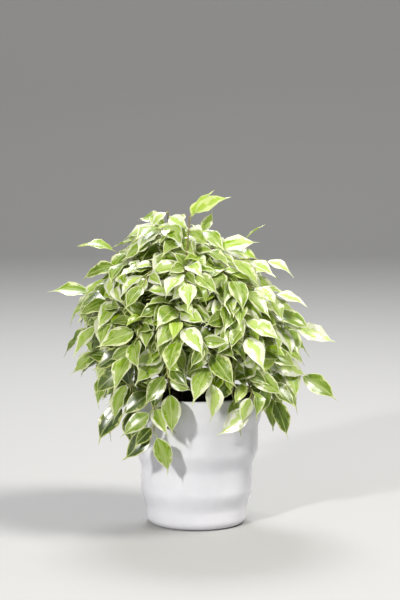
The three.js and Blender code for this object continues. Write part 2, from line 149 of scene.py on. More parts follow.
def tubes(lines, radii, sides):
    # lines: (tubes, steps, 3), radii: (tubes, steps). Each ring is square to its line, and the
    # rings' first points keep to one side so that they don't twist.
    ways = unit(np.gradient(lines, axis=1))
    sideways = squareTo(np.broadcast_to([0.3, 1.0, 0.1], ways.shape), ways)
    other = np.cross(ways, sideways)
    turn = np.linspace(0, 2 * np.pi, sides, endpoint=False)[:, None]
    rings = (lines[:, :, None] + radii[:, :, None, None] * (
        np.cos(turn) * sideways[:, :, None] + np.sin(turn) * other[:, :, None]))
    count, steps = lines.shape[:2]
    faces = []
    for tube in range(count):
        first = tube * steps * sides
        last = first + (steps - 1) * sides
        faces += ringFaces(steps, sides, first).tolist()
        faces.append(list(range(first + sides - 1, first - 1, -1)))
        faces.append(list(range(last, last + sides)))
    return rings.reshape(-1, 3), faces


def addNode(material, kind, settings=None, inputs=None, output=0, stops=()):
    # One node with its settings. Each input is a socket to link, a hex colour or a value, and the
    # stops are the (place, hex) pairs of a colour ramp. It gives the output socket asked for.
    node = material.node_tree.nodes.new(kind)
    for name, value in (settings or {}).items():
        setattr(node, name, value)
    if stops:
        elements = node.color_ramp.elements
        while len(elements) < len(stops):
            elements.new(0.5)
        for element, (place, colour) in zip(elements, stops):
            element.position = place
            element.color = linearColour(colour)
    for key, value in (inputs or {}).items():
        if isinstance(value, bpy.types.NodeSocket):
            material.node_tree.links.new(value, node.inputs[key])
        else:
            node.inputs[key].default_value = linearColour(value) if isinstance(value, str) else value
    return node.outputs[output]


def newMaterial(name, settings):
    material = bpy.data.materials.new(name)
    material.use_nodes = True
    surface = material.node_tree.nodes["Principled BSDF"]
    for key, value in settings.items():
        surface.inputs[key].default_value = value
    return material, surface


# settings that several nodes share
colourMix = {"data_type": "RGBA"}
mixed = 2  # the colour output of such a node; its ends are inputs 6 and 7
smoothRange = {"interpolation_type": "SMOOTHSTEP"}
times = {"operation": "MULTIPLY"}
timesPlus = {"operation": "MULTIPLY_ADD"}


# Camera, at the photograph's height and distance: millimetres, and degrees down from level

cameraPlace = dict(x=4.35, back=3000, height=645, pitch=6.966, lens=146.8, sensor=36)


def makeCamera():
    data = bpy.data.cameras.new("camera")
    data.sensor_width = cameraPlace["sensor"]
    data.lens = cameraPlace["lens"]
    camera = bpy.data.objects.new("camera", data)
    camera.location = np.array([cameraPlace["x"], -cameraPlace["back"], cameraPlace["height"]]) * mm
    camera.rotation_euler = (np.radians(90 - cameraPlace["pitch"]), 0, 0)
    bpy.context.scene.collection.objects.link(camera)
    bpy.context.scene.camera = camera


makeCamera()
print("camera placed")


# Studio: pale sweep, three soft boxes and a pale world

studio = dict(
    floor="#a8a8a8", floorGrain="#a5a5a5",
    sweepWidth=9000, sweepFront=-3600, sweepBack=3200, sweepRadius=1200, sweepTop=4200, sweepSteps=12,
    world="#e8e8e9", worldStrength=0.46,
    lights=[
        # name, place, size, power in watts, colour
        ("key_left", (-1350, -2350, 1400), (200, 200), 69, "#fffdf8"),
        ("top_right", (1300, -650, 2500), (800, 800), 82, "#fffcf4"),
        ("top_back", (-200, 1500, 2300), (900, 700), 54, "#fbfcff"),
    ],
    aim=(0, 0, 230),
)


def makeStudio():
    # sweep: a flat floor that bends up through a quarter circle into a wall
    bend = np.linspace(0, np.pi / 2, studio["sweepSteps"] + 1)[1:]
    radius, back = studio["sweepRadius"], studio["sweepBack"]
    along = np.concatenate([[studio["sweepFront"], back], back + radius * np.sin(bend), [back + radius]])
    up = np.concatenate([[0, 0], radius * (1 - np.cos(bend)), [studio["sweepTop"]]])
    half = studio["sweepWidth"] / 2
    points = np.concatenate([np.stack([np.full_like(along, x), along, up], axis=-1) for x in (-half, half)])
    count = len(along)
    faces = [[i, i + count, i + count + 1, i + 1] for i in range(count - 1)]
    material, surface = newMaterial("matte_studio_floor", {"Roughness": 0.9})
    place = addNode(material, "ShaderNodeTexCoord", output="Object")
    grain = addNode(material, "ShaderNodeTexNoise", inputs={"Vector": place, "Scale": 900.0, "Detail": 2.0})
    shade = addNode(material, "ShaderNodeValToRGB", inputs={0: grain},
                    stops=[(0.3, studio["floorGrain"]), (0.7, studio["floor"])])
    material.node_tree.links.new(shade, surface.inputs["Base Color"])
    newObject("floor", points, faces, [material])

    for name, place, size, power, colour in studio["lights"]:
        data = bpy.data.lights.new(name, "AREA")
        data.shape = "RECTANGLE"
        data.size, data.size_y = size[0] * mm, size[1] * mm
        data.energy = power
        data.color = linearColour(colour)[:3]
        light = bpy.data.objects.new(name, data)
        light.location = np.array(place) * mm
        direction = unit(np.array(studio["aim"], float) - np.array(place, float))
        # an area light shines along its -Z: tilted about X, then turned about Z
        light.rotation_euler = (np.arccos(-direction[2]), 0,
                                np.arctan2(direction[1], direction[0]) - np.pi / 2)
        bpy.context.scene.collection.objects.link(light)

    world = bpy.data.worlds.new("pale_room")
    world.use_nodes = True
    sky = world.node_tree.nodes["Background"]
    sky.inputs["Color"].default_value = linearColour(studio["world"])
    sky.inputs["Strength"].default_value = studio["worldStrength"]
    bpy.context.scene.world = world
    bpy.context.scene.view_settings.view_transform = "Standard"


makeStudio()
print("studio lit")


# Cover pot: slip-cast stoneware with a thick white glaze

coverPot = dict(
    height=164, wall=4.5, floor=7, bandRadii=(62.9, 69.2, 76.6, 81.2), stepHeights=(33, 83.5, 130),
    stepHalfWidth=13, footRadius=53, cornerRadius=10, lip=2.2, heelWidth=4, heelRise=2, insideFrom=8,
    sides=144, cornerSteps=8, wallSteps=75, lipSteps=10,
)


def potRadius(height):
    # sum of smooth steps between the four bands
    radius = np.full_like(height, coverPot["bandRadii"][0], dtype=float)
    radii = coverPot["bandRadii"]
    for k, middle in enumerate(coverPot["stepHeights"]):
        half = coverPot["stepHalfWidth"]
        radius = radius + (radii[k + 1] - radii[k]) * smoothStep(height, middle - half, middle + half)
    return radius


def glaze():
    # Glossy white tin glaze: pools and thins very slightly, with very shallow ripples.
    material, surface = newMaterial("white_gloss_glaze", {"Roughness": 0.12, "IOR": 1.52})
    place = addNode(material, "ShaderNodeTexCoord", output="Object")
    # pooling of the glaze over about 40 mm
    pool = addNode(material, "ShaderNodeTexNoise", inputs={"Vector": place, "Scale": 25.0, "Detail": 2.0})
    shade = addNode(material, "ShaderNodeValToRGB", inputs={0: pool},
                    stops=[(0.3, "#d3d3d9"), (0.7, "#dadae0")])
    material.node_tree.links.new(shade, surface.inputs["Base Color"])
    # ripples about 17 mm apart
    ripple = addNode(material, "ShaderNodeTexNoise", inputs={"Vector": place, "Scale": 60.0, "Detail": 1.0})
    bump = addNode(material, "ShaderNodeBump", inputs={
        "Height": ripple, "Strength": 0.12, "Distance": 0.0006})
    material.node_tree.links.new(bump, surface.inputs["Normal"])
    return material


def makeCoverPot():
    # profile: foot, rounded corner, banded outside, half round lip, inside wall, heel and floor
    height, wall, lip = coverPot["height"], coverPot["wall"], coverPot["lip"]
    foot, floor, cornerRadius = coverPot["footRadius"], coverPot["floor"], coverPot["cornerRadius"]
    bend = np.linspace(-np.pi / 2, 0, coverPot["cornerSteps"] + 1)[:-1]
    corner = np.stack([foot + cornerRadius * np.cos(bend), cornerRadius * (1 + np.sin(bend))], axis=-1)
    levels = np.linspace(cornerRadius + 1, height - lip, coverPot["wallSteps"] + 1)
    outside = np.stack([potRadius(levels), levels], axis=-1)
    over = np.linspace(0, np.pi, coverPot["lipSteps"] + 1)[1:-1]
    rim = potRadius(np.array([height]))[0] - wall / 2
    lipLine = np.stack([rim + wall / 2 * np.cos(over), height - lip + lip * np.sin(over)], axis=-1)
    # a quarter of the levels is enough on the inside, which the growing pot hides
    inside = np.stack([potRadius(levels[::-4]) - wall, levels[::-4]], axis=-1)
    inside = inside[inside[:, 1] > floor + coverPot["insideFrom"]]
    heel = [[foot + coverPot["heelWidth"], floor + coverPot["heelRise"]], [foot, floor]]
    profile = np.concatenate([[[0, 0], [foot - 3, 0]], corner, outside, lipLine, inside, heel, [[0, floor]]])
    pot = revolve("cover_pot_glazed", profile, coverPot["sides"], [glaze()])
    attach(pot, "root")
    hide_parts("cover_pot")


makeCoverPot()
print("cover pot glazed")


# Growing pot: thin moulded polypropylene, nearly black

growingPot = dict(
    base=7.3, height=150, wall=1.6, floor=2, footRadius=49, shoulderRadius=66, rimRadius=69.5, rimBand=12,
    sides=96, sharpAngle=50,
)


def mouldedPlastic():
    # Satin black polypropylene with a fine spark-eroded grain and dusty scuffs.
    material, surface = newMaterial("satin_black_polypropylene", {"Roughness": 0.42, "IOR": 1.49})
    place = addNode(material, "ShaderNodeTexCoord", output="Object")
    # dust in patches of about 11 mm
    dust = addNode(material, "ShaderNodeTexNoise", inputs={"Vector": place, "Scale": 90.0, "Detail": 4.0})
    shade = addNode(material, "ShaderNodeValToRGB", inputs={0: dust},
                    stops=[(0.4, "#17161a"), (0.8, "#2a2725")])
    material.node_tree.links.new(shade, surface.inputs["Base Color"])
    # eroded grain of about 0.5 mm
    grain = addNode(material, "ShaderNodeTexNoise", inputs={"Vector": place, "Scale": 2000.0, "Detail": 1.0})
    bump = addNode(material, "ShaderNodeBump", inputs={"Height": grain, "Strength": 0.2, "Distance": 0.0001})
    material.node_tree.links.new(bump, surface.inputs["Normal"])
    return material


def makeGrowingPot():
    # straight wall and a wider band at the rim, with every edge broken by 0.5 to 1 mm
    base, wall, floor = growingPot["base"], growingPot["wall"], growingPot["floor"]
    top = base + growingPot["height"]
    band = top - growingPot["rimBand"]
    foot, shoulder, rim = growingPot["footRadius"], growingPot["shoulderRadius"], growingPot["rimRadius"]
    profile = [
        [0, base], [foot - 1, base], [foot, base + 1],
        [shoulder - 0.1, band - 1], [shoulder + 0.4, band - 0.2], [rim - 0.5, band], [rim, band + 0.6],
        [rim + 0.5, top - 1], [rim + 0.4, top - 0.3], [rim - 0.2, top],
        [rim - wall + 0.5, top], [rim - wall, top - 0.5], [rim - wall - 0.2, band - 0.5],
        [shoulder - wall, band - 2], [foot - wall, base + floor + 1], [foot - wall - 1, base + floor],
        [0, base + floor],
    ]
    pot = revolve("growing_pot_moulded", profile, growingPot["sides"], [mouldedPlastic()])
    pot.data.set_sharp_from_angle(angle=np.radians(growingPot["sharpAngle"]))
    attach(pot, "root")
    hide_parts("growing_pot")


makeGrowingPot()
print("growing pot moulded")


# Compost: moist peaty crumbs

compost = dict(base=9.6, top=145, crown=2.5, footRadius=46.5, topRadius=62.4, rings=46, sides=132,
               ringPower=1.1, collar=4, crumbHeight=2.6, wallFade=0.6, fadePower=6,
               crumbSizes=((11.0, 0.45), (5.3, 0.35), (2.7, 0.3)), crumbTurns=(0.7, 1.9), crumbRatio=1.27,
               crumbBends=((1.7, 0.61), (1.3, 0.53)))


def crumbs(x, y):
    # Lumps of several sizes and shares of the height. Each is the product of two sines that
    # cross at a turned and uneven scale and bend each other, folded up to rounded peaks.
    height = np.zeros_like(x)
    firstTurn, nextTurn = compost["crumbTurns"]
    (bendA, slowA), (bendB, slowB) = compost["crumbBends"]
    for k, (size, share) in enumerate(compost["crumbSizes"]):
        turn = firstTurn + nextTurn * k
        a = (x * np.cos(turn) + y * np.sin(turn)) * 2 * np.pi / size
        b = (y * np.cos(turn) - x * np.sin(turn)) * 2 * np.pi / (size * compost["crumbRatio"])
        lumps = np.sin(a + bendA * np.sin(b * slowA)) * np.sin(b + bendB * np.sin(a * slowB))
        height += share * np.abs(lumps)
    return height


def peat():
    # Moist peat and bark compost: matte, dark, with paler dry fibres.
    material, surface = newMaterial("moist_peat_compost", {"Roughness": 0.95, "Specular IOR Level": 0.3})
    place = addNode(material, "ShaderNodeTexCoord", output="Object")
    # crumbs of 2 to 4 mm
    crumb = addNode(material, "ShaderNodeTexNoise", inputs={
        "Vector": place, "Scale": 420.0, "Detail": 6.0, "Roughness": 0.7})
    shade = addNode(material, "ShaderNodeValToRGB", inputs={0: crumb},
                    stops=[(0.3, "#150f0b"), (0.55, "#33241a"), (0.75, "#5d4735")])
    material.node_tree.links.new(shade, surface.inputs["Base Color"])
    bump = addNode(material, "ShaderNodeBump", inputs={"Height": crumb, "Strength": 0.9, "Distance": 0.0012})
    material.node_tree.links.new(bump, surface.inputs["Normal"])
    return material


def makeCompost():
    # The surface falls from its middle by the crown times the square of the share of the radius.
    # Its crumbs stand lower towards the wall, and its rings lie closer there.
    top, crown, rings, sides = compost["top"], compost["crown"], compost["rings"], compost["sides"]
    radii = compost["topRadius"] * (1 - (np.arange(rings) / rings) ** compost["ringPower"])
    angles = np.linspace(0, 2 * np.pi, sides, endpoint=False)
    x, y = radii[:, None] * np.cos(angles), radii[:, None] * np.sin(angles)
    share = radii[:, None] / compost["topRadius"]
    fade = 1 - compost["wallFade"] * share ** compost["fadePower"]
    z = top - crown * share ** 2 + compost["crumbHeight"] * (crumbs(x, y) - 0.5) * fade
    surface = np.stack([x, y, z], axis=-1)
    below = [np.stack([r * np.cos(angles), r * np.sin(angles), np.full(sides, h)], axis=-1) for r, h in (
        (compost["footRadius"], compost["base"]),
        (compost["topRadius"] - 0.2, top - crown - compost["collar"]))]
    points = np.concatenate([*below, surface.reshape(-1, 3), [[0, 0, compost["base"]], [0, 0, top]]])
    count = (rings + 2) * sides
    faces = ringFaces(rings + 2, sides).tolist()
    for side in range(sides):
        beside = (side + 1) % sides
        faces.append([count, beside, side])
        faces.append([count + 1, count - sides + side, count - sides + beside])  # the last ring
    soil = newObject("compost_crumbly", points, faces, [peat()])
    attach(soil, "root")
    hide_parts("compost")


makeCompost()
print("compost laid")


# Stems and branches: the same rule as the solids follow

domeCentre = np.array([-5.0, 0, 212])
crown = dict(reach=124, rise=167, narrowing=0.8, lean=-25)
skirt = dict(reach=106, rise=86, narrowing=0, lean=0)
twig = dict(steps=5, rise=34, lead=26, hangAngle=0.5, shootHang=60, startRadius=1.5, endRadius=0.75, bud=3,
            budRadius=0.12, smoothSteps=10, tubeSteps=15, sides=6, fillers=12)
lightwards = np.array([0, -0.5, 0.4])  # faces turn to the light in front and above
stems = [
    dict(name="leafy_stem_back_right", foot=(17, 22), top=(24, 29, 330), radius=3.6),
    dict(name="leafy_stem_back_left", foot=(-20, 24), top=(-33, 30, 324), radius=3.4),
    dict(name="leafy_stem_front_left", foot=(-26, -17), top=(-28, -20, 328), radius=3.9),
    dict(name="leafy_stem_front_right", foot=(21, -20), top=(25, -26, 322), radius=3.3),
]
stemShape = dict(bare=4, buried=30, tipRadius=1.5, knot=0.05, knotTurn=2.4, steps=25, sides=12)
forkSpacing = 8
rings = [
    dict(branches=4, turn=0.5, end=17, fork=312, hang=12, leaves=6),
    dict(branches=7, turn=0.5, end=40, fork=293, hang=60, leaves=7),
    dict(branches=9, turn=0, end=59, fork=275, hang=60, leaves=7),
    dict(branches=10, turn=0.5, end=81, fork=249, hang=60, leaves=8),
    dict(branches=10, turn=0, end=103, fork=224, hang=60, leaves=7),
    dict(branches=9, turn=0.5, end=124, fork=200, hang=60, leaves=5),
]
frontOpening = dict(ring=5, start=248, stop=292)
stray = dict(azimuth=6, polar=7, reach=0.05)
# each branch, leaf, side twig and small leaf has a counter of its own, from which its chances come
numbering = dict(ring=20, leaf=16, shoot=200, filler=5000, fillerLeaf=32, twig=300, twigShare=5)

# Shoots that stand out from the dome. Each leaf: share of the shoot, direction, face, size, bend.
shoots = [
    dict(stem=2, fork=286, end=(-8, -56, 388), heading=(0.06, 0.12, 1), young=0.75, leaves=[
        (0.99, (0.88, -0.1, 0.47), (-0.4, -0.6, 0.7), 0.95, 24),
        (0.95, (0.72, 0.35, 0.72), (-0.5, -0.4, 0.75), 0.9, 20)]),
    dict(stem=3, fork=300, end=(5, -24, 364), heading=(0, 0, 1), leaves=[
        (0.99, (0.5, -0.1, 0.8), (-0.3, -0.95, 0.1), 0.56, 16),
        (0.84, (0.75, -0.5, -0.4), (0.3, -0.5, 0.8), 0.85, 46),
        (0.7, (-0.3, -0.8, -0.5), (0, -0.6, 0.8), 0.85, 46)]),
    dict(stem=1, fork=304, end=(-35, 2, 389), heading=(0, -0.1, 1), fillers=12, leaves=[
        (0.99, (-0.55, -0.35, -0.55), (-0.4, -0.7, 0.6), 0.55, 70),
        (0.94, (0.6, -0.4, -0.6), (0.4, -0.7, 0.6), 0.6, 60),
        (0.88, (-0.6, -0.4, -0.65), (-0.4, -0.75, 0.5), 0.68, 50),
        (0.82, (0.1, -0.6, -0.8), (0.05, -0.85, 0.5), 0.7, 50),
        (0.76, (0.7, -0.1, -0.65), (0.6, -0.4, 0.7), 0.72, 50),
        (0.7, (-0.75, 0.1, -0.6), (-0.6, -0.3, 0.7), 0.75, 50),
        (0.64, (-0.2, -0.65, -0.75), (-0.1, -0.85, 0.5), 0.8, 50)]),
    dict(stem=1, fork=290, end=(-98, 2, 336), heading=(-0.9, 0, 0.1), young=0.5, leaves=[
        (0.99, (-0.98, 0, 0.14), (0, -0.35, 0.93), 0.92, 64),
        (0.93, (-0.5, -0.2, -0.84), (-0.6, -0.8, 0.1), 0.62, 20)]),
    dict(stem=0, fork=300, end=(57, -4, 350), heading=(0.8, 0, 0.3), young=0.5, leaves=[
        (0.99, (0.76, 0, 0.6), (-0.5, 0.1, 0.85), 0.62, 24),
        (0.8, (0.8, -0.5, -0.2), (0.3, -0.4, 0.85), 0.9, 40)]),
    dict(stem=0, fork=276, end=(82, -20, 330), heading=(0.85, 0, -0.1), leaves=[
        (0.99, (0.88, -0.1, -0.42), (0.3, -0.5, 0.8), 0.75, 36),
        (0.84, (0.7, -0.6, -0.4), (0.3, -0.5, 0.8), 0.85, 40)]),
    dict(stem=3, fork=262, end=(93, -36, 290), heading=(0.85, -0.1, -0.35), leaves=[
        (0.99, (0.88, -0.1, -0.3), (0.3, -0.5, 0.8), 0.8, 36),
        (0.93, (0.75, -0.2, -0.68), (0.5, -0.6, 0.6), 0.85, 34),
        (0.8, (0.6, -0.7, -0.4), (0.3, -0.6, 0.7), 0.9, 40)]),
    dict(stem=1, fork=262, end=(-124, -8, 284), heading=(-0.9, 0, -0.2), leaves=[
        (0.99, (-0.99, 0, 0.06), (-0.1, -0.5, 0.86), 1.06, 46),
        (0.94, (-0.86, -0.4, -0.42), (-0.3, -0.6, 0.75), 0.95, 34),
        (0.84, (-0.8, -0.5, -0.5), (-0.3, -0.6, 0.7), 1, 36),
        (0.75, (-0.8, 0.2, 0.1), (-0.2, -0.4, 0.9), 0.8, 50)]),
    dict(stem=0, fork=232, end=(116, -8, 245), heading=(0.8, 0, -0.4), leaves=[
        (0.99, (0.92, -0.1, -0.34), (0.25, -0.75, 0.6), 1.05, 44),
        (0.95, (0.85, -0.3, -0.5), (0.4, -0.7, 0.6), 0.9, 34),
        (0.84, (0.7, -0.6, -0.4), (0.3, -0.6, 0.7), 0.95, 40)]),
    dict(stem=3, fork=216, end=(124, -14, 188), heading=(0.7, 0, -0.7), leaves=[
        (0.99, (0.84, -0.1, -0.53), (0.3, -0.85, 0.4), 1.05, 36),
        (0.86, (0.3, -0.5, -0.8), (0.4, -0.8, 0.4), 0.95, 40)]),
    dict(stem=2, fork=222, end=(-116, -16, 218), heading=(-0.7, 0, -0.6), leaves=[
        (0.99, (-0.76, -0.1, -0.64), (-0.3, -0.7, 0.6), 0.88, 44),
        (0.95, (-0.08, -0.1, -1), (-0.4, -0.85, 0.3), 0.95, 24),
        (0.82, (-0.4, -0.5, -0.75), (-0.4, -0.7, 0.55), 0.95, 40)]),
    dict(stem=2, fork=206, end=(-86, -44, 158), heading=(-0.4, -0.2, -0.9), fillers=4, leaves=[
        (0.99, (-0.6, -0.1, -0.8), (-0.3, -0.85, 0.3), 1.08, 30),
        (0.86, (-0.5, -0.35, -0.8), (-0.2, -0.8, 0.5), 0.7, 30),
        (0.74, (-0.8, -0.1, -0.55), (-0.3, -0.7, 0.6), 0.95, 40)]),
    dict(stem=2, fork=200, end=(-51, -94, 129), heading=(0.05, -0.1, -1), fillers=6, leaves=[
        (0.99, (0.36, -0.05, -0.93), (0.2, -0.97, 0.1), 0.95, 24),
        (0.95, (-0.62, -0.05, -0.78), (-0.3, -0.93, 0.1), 0.98, 24),
        (0.84, (-0.6, -0.15, -0.75), (-0.25, -0.9, 0.35), 0.9, 30),
        (0.78, (0.3, -0.15, -0.94), (0.15, -0.95, 0.3), 0.8, 30),
        (0.68, (-0.66, -0.2, -0.7), (-0.2, -0.9, 0.4), 0.95, 34)]),
    dict(stem=3, fork=206, end=(70, -88, 161), heading=(0.2, -0.3, -0.9), fillers=4, leaves=[
        (0.99, (-0.72, -0.1, -0.68), (-0.1, -0.95, 0.3), 1, 20),
        (0.91, (0.1, -0.4, -0.9), (0.1, -0.9, 0.4), 0.7, 30),
        (0.8, (-0.45, -0.35, -0.82), (0, -0.85, 0.5), 0.62, 34),
        (0.7, (0.55, -0.3, -0.78), (0.1, -0.9, 0.4), 1, 30)]),
    dict(stem=3, fork=204, end=(92, -44, 166), heading=(0.4, 0, -0.9), leaves=[
        (0.99, (0.35, -0.05, -0.94), (0.5, -0.8, 0.2), 1, 26),
        (0.86, (0.7, -0.3, -0.62), (0.4, -0.7, 0.6), 0.95, 38)]),
]
chosenFold = 14


def domePoint(azimuth, polar, size):
    # Angles in radians. A point stands out by the reach times the sine of its polar angle, to the
    # power of one and the narrowing, and up by the rise times the cosine. The crown leans to one side.
    part = crown if np.cos(polar) > 0 else skirt
    out = part["reach"] * size * np.sin(polar) * abs(np.sin(polar)) ** part["narrowing"]
    return domeCentre + [part["lean"] * np.cos(polar) + out * np.cos(azimuth), out * np.sin(azimuth),
                         part["rise"] * size * np.cos(polar)]


def stemPoints(stem, shares):
    # upright at the foot and at the top
    foot = np.array([*stem["foot"], compost["top"] + stemShape["bare"]], float)
    top = np.array(stem["top"], float)
    rise = np.array([0, 0, (top[2] - foot[2]) / 3])
    return bezier(foot, foot + rise, top - rise, top, shares)


def forkPoint(stem, height):
    foot = compost["top"] + stemShape["bare"]
    return stemPoints(stem, (height - foot) / (stem["top"][2] - foot))


def branchCurve(fork, tip, heading, hang):
    # the four points of a branch: it rises off its fork and hangs into its tip
    out = unit(np.array([tip[0] - fork[0], tip[1] - fork[1], 0]))
    return np.array([fork, fork + out * twig["lead"] + [0, 0, twig["rise"]], tip - heading * hang, tip])


def makeBranches():
    # the chosen shoots, and then ring after ring of branches from the crown down
    branches = []
    for s, shoot in enumerate(shoots):
        curve = branchCurve(forkPoint(stems[shoot["stem"]], shoot["fork"]), np.array(shoot["end"], float),
                            unit(np.array(shoot["heading"], float)), twig["shootHang"])
        branches.append(dict(shoot, counter=numbering["shoot"] + s, chosen=shoot["leaves"],
                             leaves=len(shoot["leaves"]), curve=curve, fillers=shoot.get("fillers", 0)))
    for level, ring in enumerate(rings):
        for j in range(ring["branches"]):
            counter = 1 + level * numbering["ring"] + j
            azimuth = (j + ring["turn"]) / ring["branches"] * 360 + spread(counter, 1, stray["azimuth"])
            facing = (azimuth + 360) % 360
            if level == frontOpening["ring"] and frontOpening["start"] < facing < frontOpening["stop"]:
                continue
            polar = np.radians(ring["end"] + spread(counter, 2, stray["polar"]))
            size = 1 + spread(counter, 3, stray["reach"])
            owner = int(facing // 90)
            tip = domePoint(np.radians(azimuth), polar, size)
            before = domePoint(np.radians(azimuth), polar - twig["hangAngle"], size)
            # the branches of a ring fork at three heights by turns
            fork = forkPoint(stems[owner], ring["fork"] + (j % 3 - 1) * forkSpacing)
            branches.append(dict(stem=owner, counter=counter, chosen=None, leaves=ring["leaves"],
                                 fillers=twig["fillers"],
                                 curve=branchCurve(fork, tip, unit(tip - before), ring["hang"])))
    for branch in branches:
        branch["line"] = bezier(*branch["curve"], np.linspace(0, 1, twig["steps"] + 1))
    return branches


def smoothLine(branch):
    # a branch's curve in more steps than the solid's
    return bezier(*branch["curve"], np.linspace(0, 1, twig["smoothSteps"] + 1))


def along(line, share):
    # the point at a share of a line of points, and the way the line runs there
    steps = len(line) - 1
    i = min(int(share * steps), steps - 1)
    way = line[i + 1] - line[i]
    return line[i] + way * (share * steps - i), unit(way)


def outlook(point):
    # the way foliage faces at a point: outwards from the dome's middle, and to the light
    return unit(unit(point - domeCentre) + lightwards)


branches = makeBranches()
print("branches set out:", len(branches))


# Leaves: where each one sits, and how it grows

# In the pairs of a habit, the second is the most that chance adds to the first. Directions are
# shares of a unit length, and angles are degrees.
leaf = dict(length=60, halfWidth=12.2, rootDepth=0.3)
habit = dict(first=0.3, offset=0.6, last=0.99, angle=50, angleStray=14, tipStray=10, roll=18, climb=0.7,
             droop=(0.22, 0.3), lift=(0.35, 0.3), grown=(0.84, 0.24), bend=(30, 34), fold=(8, 14))
# one row for each way a leaf may grow: its size, its lift and its swing in degrees
waysTried = np.array([(size, lift, swing) for size in (1, 0.84, 0.68)
                      for lift in (0, 11, -11, 22) for swing in (0, 13, -13, 26, -26, 39, -39)])
tipMatch = 0.05  # how near a leaf's tip is to a corner of the solid that it belongs to


def within(limits, counter, channel):
    least, reach = limits
    return least + reach * chance(counter, channel)


def chosenPlace(branch, row):
    share, pointing, facing, grown, bend = row
    root, _ = along(branch["line"], share)
    return dict(root=root, share=share, pointing=unit(np.array(pointing, float)),
                facing=np.array(facing, float), grown=grown, roll=0, bend=bend, fold=chosenFold)


def grownPlace(branch, index):
    # leaves alternate along a branch, face outwards, and droop
    counter = branch["counter"] * numbering["leaf"] + index
    isLast = index == branch["leaves"] - 1
    borne = (index + habit["offset"]) / branch["leaves"]
    share = habit["last"] if isLast else habit["first"] + (1 - habit["first"]) * borne
    root, way = along(branch["line"], share)
    facing = outlook(root)
    side = unit(np.cross(way, facing)) * (1 if index % 2 else -1)
    radial = unit((root - domeCentre) * [1, 1, 0])
    angle = np.radians(spread(counter, 5, habit["tipStray"]) if isLast
                       else habit["angle"] + spread(counter, 5, habit["angleStray"]))
    droop = within(habit["droop"], counter, 6) + habit["climb"] * max(0.0, way[2])
    pointing = unit(way * np.cos(angle) + side * np.sin(angle) - np.array([0, 0, droop])
                    + radial * within(habit["lift"], counter, 7))
    return dict(root=root, share=share, pointing=pointing, facing=facing,
                grown=within(habit["grown"], counter, 8), roll=spread(counter, 9, habit["roll"]),
                bend=within(habit["bend"], counter, 10), fold=within(habit["fold"], counter, 11))


def leafAxes(place, ways):
    # for each way: swing across the blade's face, lift off it, then roll about its length
    lift, swing = ways[:, 1], ways[:, 2]
    face = squareTo(place["facing"], place["pointing"])
    pointing = turnedAbout(place["pointing"], face, swing)
    across = np.cross(face, pointing)
    pointing = turnedAbout(pointing, across, -lift)
    normal = turnedAbout(np.cross(pointing, across), pointing, np.full(len(ways), place["roll"]))
    return pointing, np.cross(normal, pointing), normal


def leavesGrown(place, ways, **more):
    # the leaf in each of the ways
    pointing, across, normal = leafAxes(place, ways)
    return [dict(place, pointing=pointing[k], across=across[k], normal=normal[k],
                 grown=place["grown"] * ways[k, 0], **more) for k in range(len(ways))]


def tipPoint(place):
    # the end of an arc is its chord from the root
    bend = np.radians(place["bend"])
    return place["root"] + place["pointing"] * 2 * leaf["length"] * place["grown"] * np.sin(bend / 2) / bend


def searchTree(points):
    tree = kdtree.KDTree(len(points))
    for i, point in enumerate(points.tolist()):
        tree.insert(point, i)
    tree.balance()
    return tree


def solidCorners(stem):
    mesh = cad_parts[stem["name"]].data
    corners = np.empty(len(mesh.vertices) * 3, np.float32)
    mesh.vertices.foreach_get("co", corners)
    return (corners / mm).reshape(-1, 3)


def leavesOnSolids():
    # of the ways a leaf may grow, the one whose tip is a corner of the solid is the way it grew
    trees = [searchTree(solidCorners(stem)) for stem in stems]
    found = []
    for branch in branches:
        for index in range(branch["leaves"]):
            place = (chosenPlace(branch, branch["chosen"][index]) if branch["chosen"]
                     else grownPlace(branch, index))
            counter = branch["counter"] * numbering["leaf"] + index
            for made in leavesGrown(place, waysTried, branch=branch, counter=counter):
                if trees[branch["stem"]].find(tipPoint(made))[2] < tipMatch:
                    found.append(made)
                    break
    return found


leaves = leavesOnSolids()
print("leaves found on the solids:", len(leaves))

# Leaves that fill the bush between those of the solids

filler = dict(perTwig=6, first=0.12, last=0.97, angle=56, angleStray=28, roll=32, climb=0.5, lift=0.6,
              outwards=0.5, frontwards=[0, -0.4, 0], droop=(0.3, 0.4), grown=(0.58, 0.34), bend=(24, 56),
              fold=(8, 26), crowding=0.06, beyond=14)
sideTwig = dict(perBranch=5, first=0.2, last=0.9, angle=50, angleStray=14, length=(26, 24), sag=0.4,
                chordSag=0.6, endSag=1.6, beyond=4, steps=6, sides=5, startRadius=0.75, endRadius=0.3)
cell = 3.0  # side of the cells that leaves take up
roomSide = 480  # side of the cube of cells
room = np.array([roomSide / 2, roomSide / 2, 0])  # from the corner of the cells to the axis
rimGap = ((-30, -150, 150), (38, -20, 172))  # box in front of the rim that the small leaves leave open
# shares of a leaf's length, from its root to the end of its drip tip
stations = np.array([0, 0.09, 0.16, 0.19, 0.25, 0.34, 0.45, 0.58, 0.72, 0.86, 1.0])
bladeFrom = 3  # the first station that is on the blade and not on the petiole
# the ring of points round a leaf: share of the half width, and upper or under side
ringAcross = np.array([-1, -0.5, 0, 0.5, 1, 0])
ringSide = np.array([0, 1, 1, 1, 0, -1])
upperPoints = 5  # from margin to margin over the upper side
blade = dict(start=0.165, thick=0.22, roundness=0.8, dripStart=0.84, drip=0.24, dripBy=0.5,
             petiole=0.55, petioleThick=0.5, petioleTaper=0.8, petioleJoint=0.17, flatFrom=0.13, flatBy=0.21,
             foldAtRib=1.45, foldEase=0.5, wave=2.1, waves=1.5, waveStagger=2.5, tipCurl=5.0, curlFrom=0.6,
             sharpAngle=65)


